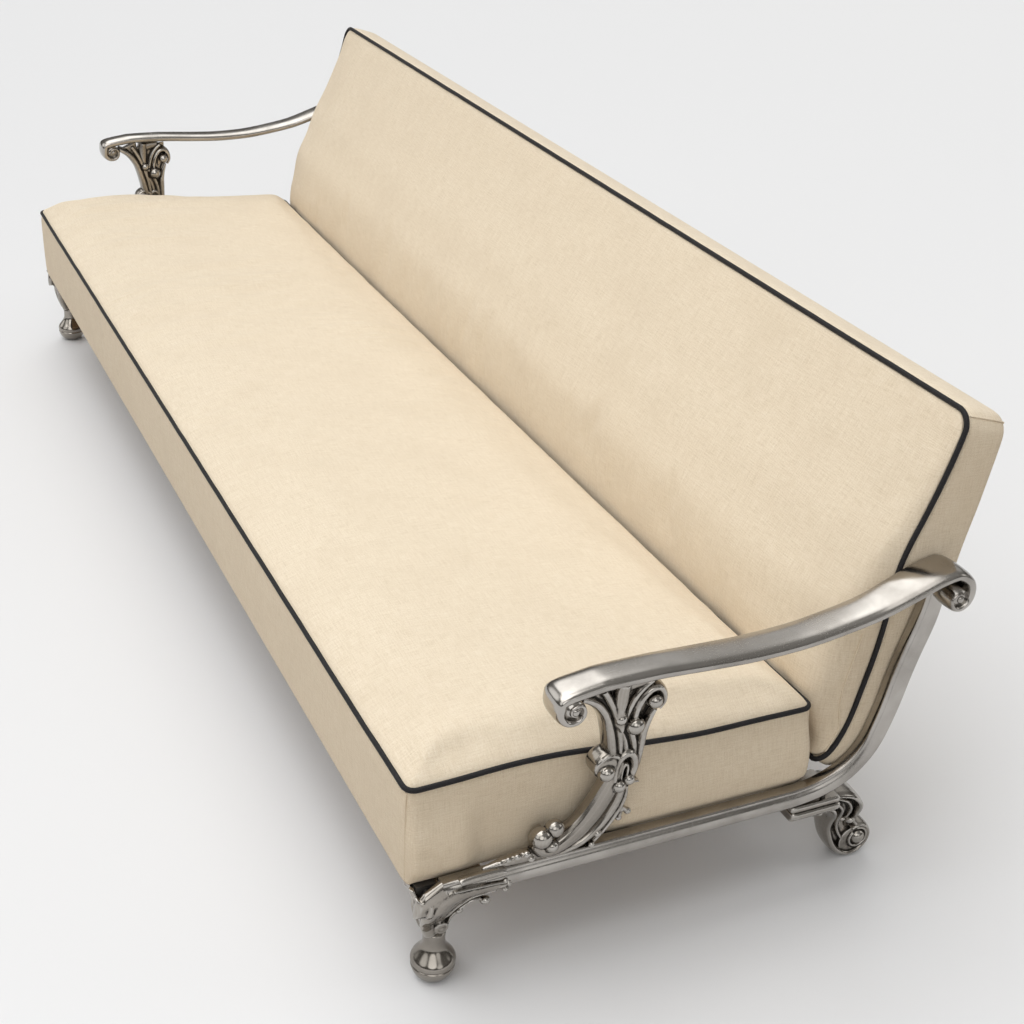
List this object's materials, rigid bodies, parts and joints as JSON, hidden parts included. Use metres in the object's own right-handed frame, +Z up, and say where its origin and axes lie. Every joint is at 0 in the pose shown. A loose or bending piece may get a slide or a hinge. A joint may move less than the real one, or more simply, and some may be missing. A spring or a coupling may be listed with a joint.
{
  "type": "sofa",
  "caption": "Three-seater sofa with a full-length box seat and a leaning back in pale linen with dark piping, on cast and polished metal side frames with scrolled arms, ball feet and volute feet.",
  "frame": {"origin": "on the floor under the middle of the sofa", "axes": "+X along the length, to the right for someone who faces the front of the sofa; +Y from front to rear; +Z up"},
  "size_m": [2.67, 0.9024, 0.7788],
  "materials": {
    "linen": "plain woven linen upholstery over foam, warm cream",
    "piping": "dark navy woven piping",
    "nickel": "polished nickel over cast metal, dark in the recesses",
    "deck_steel": "plain rolled steel sections",
    "steel": "plain steel fasteners",
    "wood": "plain beech",
    "webbing": "woven jute webbing"
  },
  "bodies": {
    "sofa": {"back_pad": "linen", "back_piping": "piping", "back_shell": "linen", "back_frame": "wood", "back_webbing": "webbing", "back_bolts": "steel", "side_frame_left": "nickel", "side_frame_right": "nickel", "arm_left": "nickel", "arm_right": "nickel", "arm_bracket_left": "nickel", "arm_bracket_right": "nickel", "front_leg_left": "nickel", "front_leg_right": "nickel", "ball_foot_left": "nickel", "ball_foot_right": "nickel", "rear_leg_left": "nickel", "rear_leg_right": "nickel", "front_rail": "deck_steel", "rear_rail": "deck_steel", "centre_stretcher": "deck_steel", "deck_slats": "wood", "arm_studs": "steel", "bracket_studs": "steel", "leg_studs": "steel", "foot_studs": "steel", "rail_studs": "steel"},
    "seat": {"seat_cushion": "linen", "seat_piping": "piping"}
  },
  "joints": [
    {"name": "seat_lift", "type": "slide", "parent": "sofa", "child": "seat", "axis": [0, 0, 1], "range_m": [0, 0.25]}
  ]
}
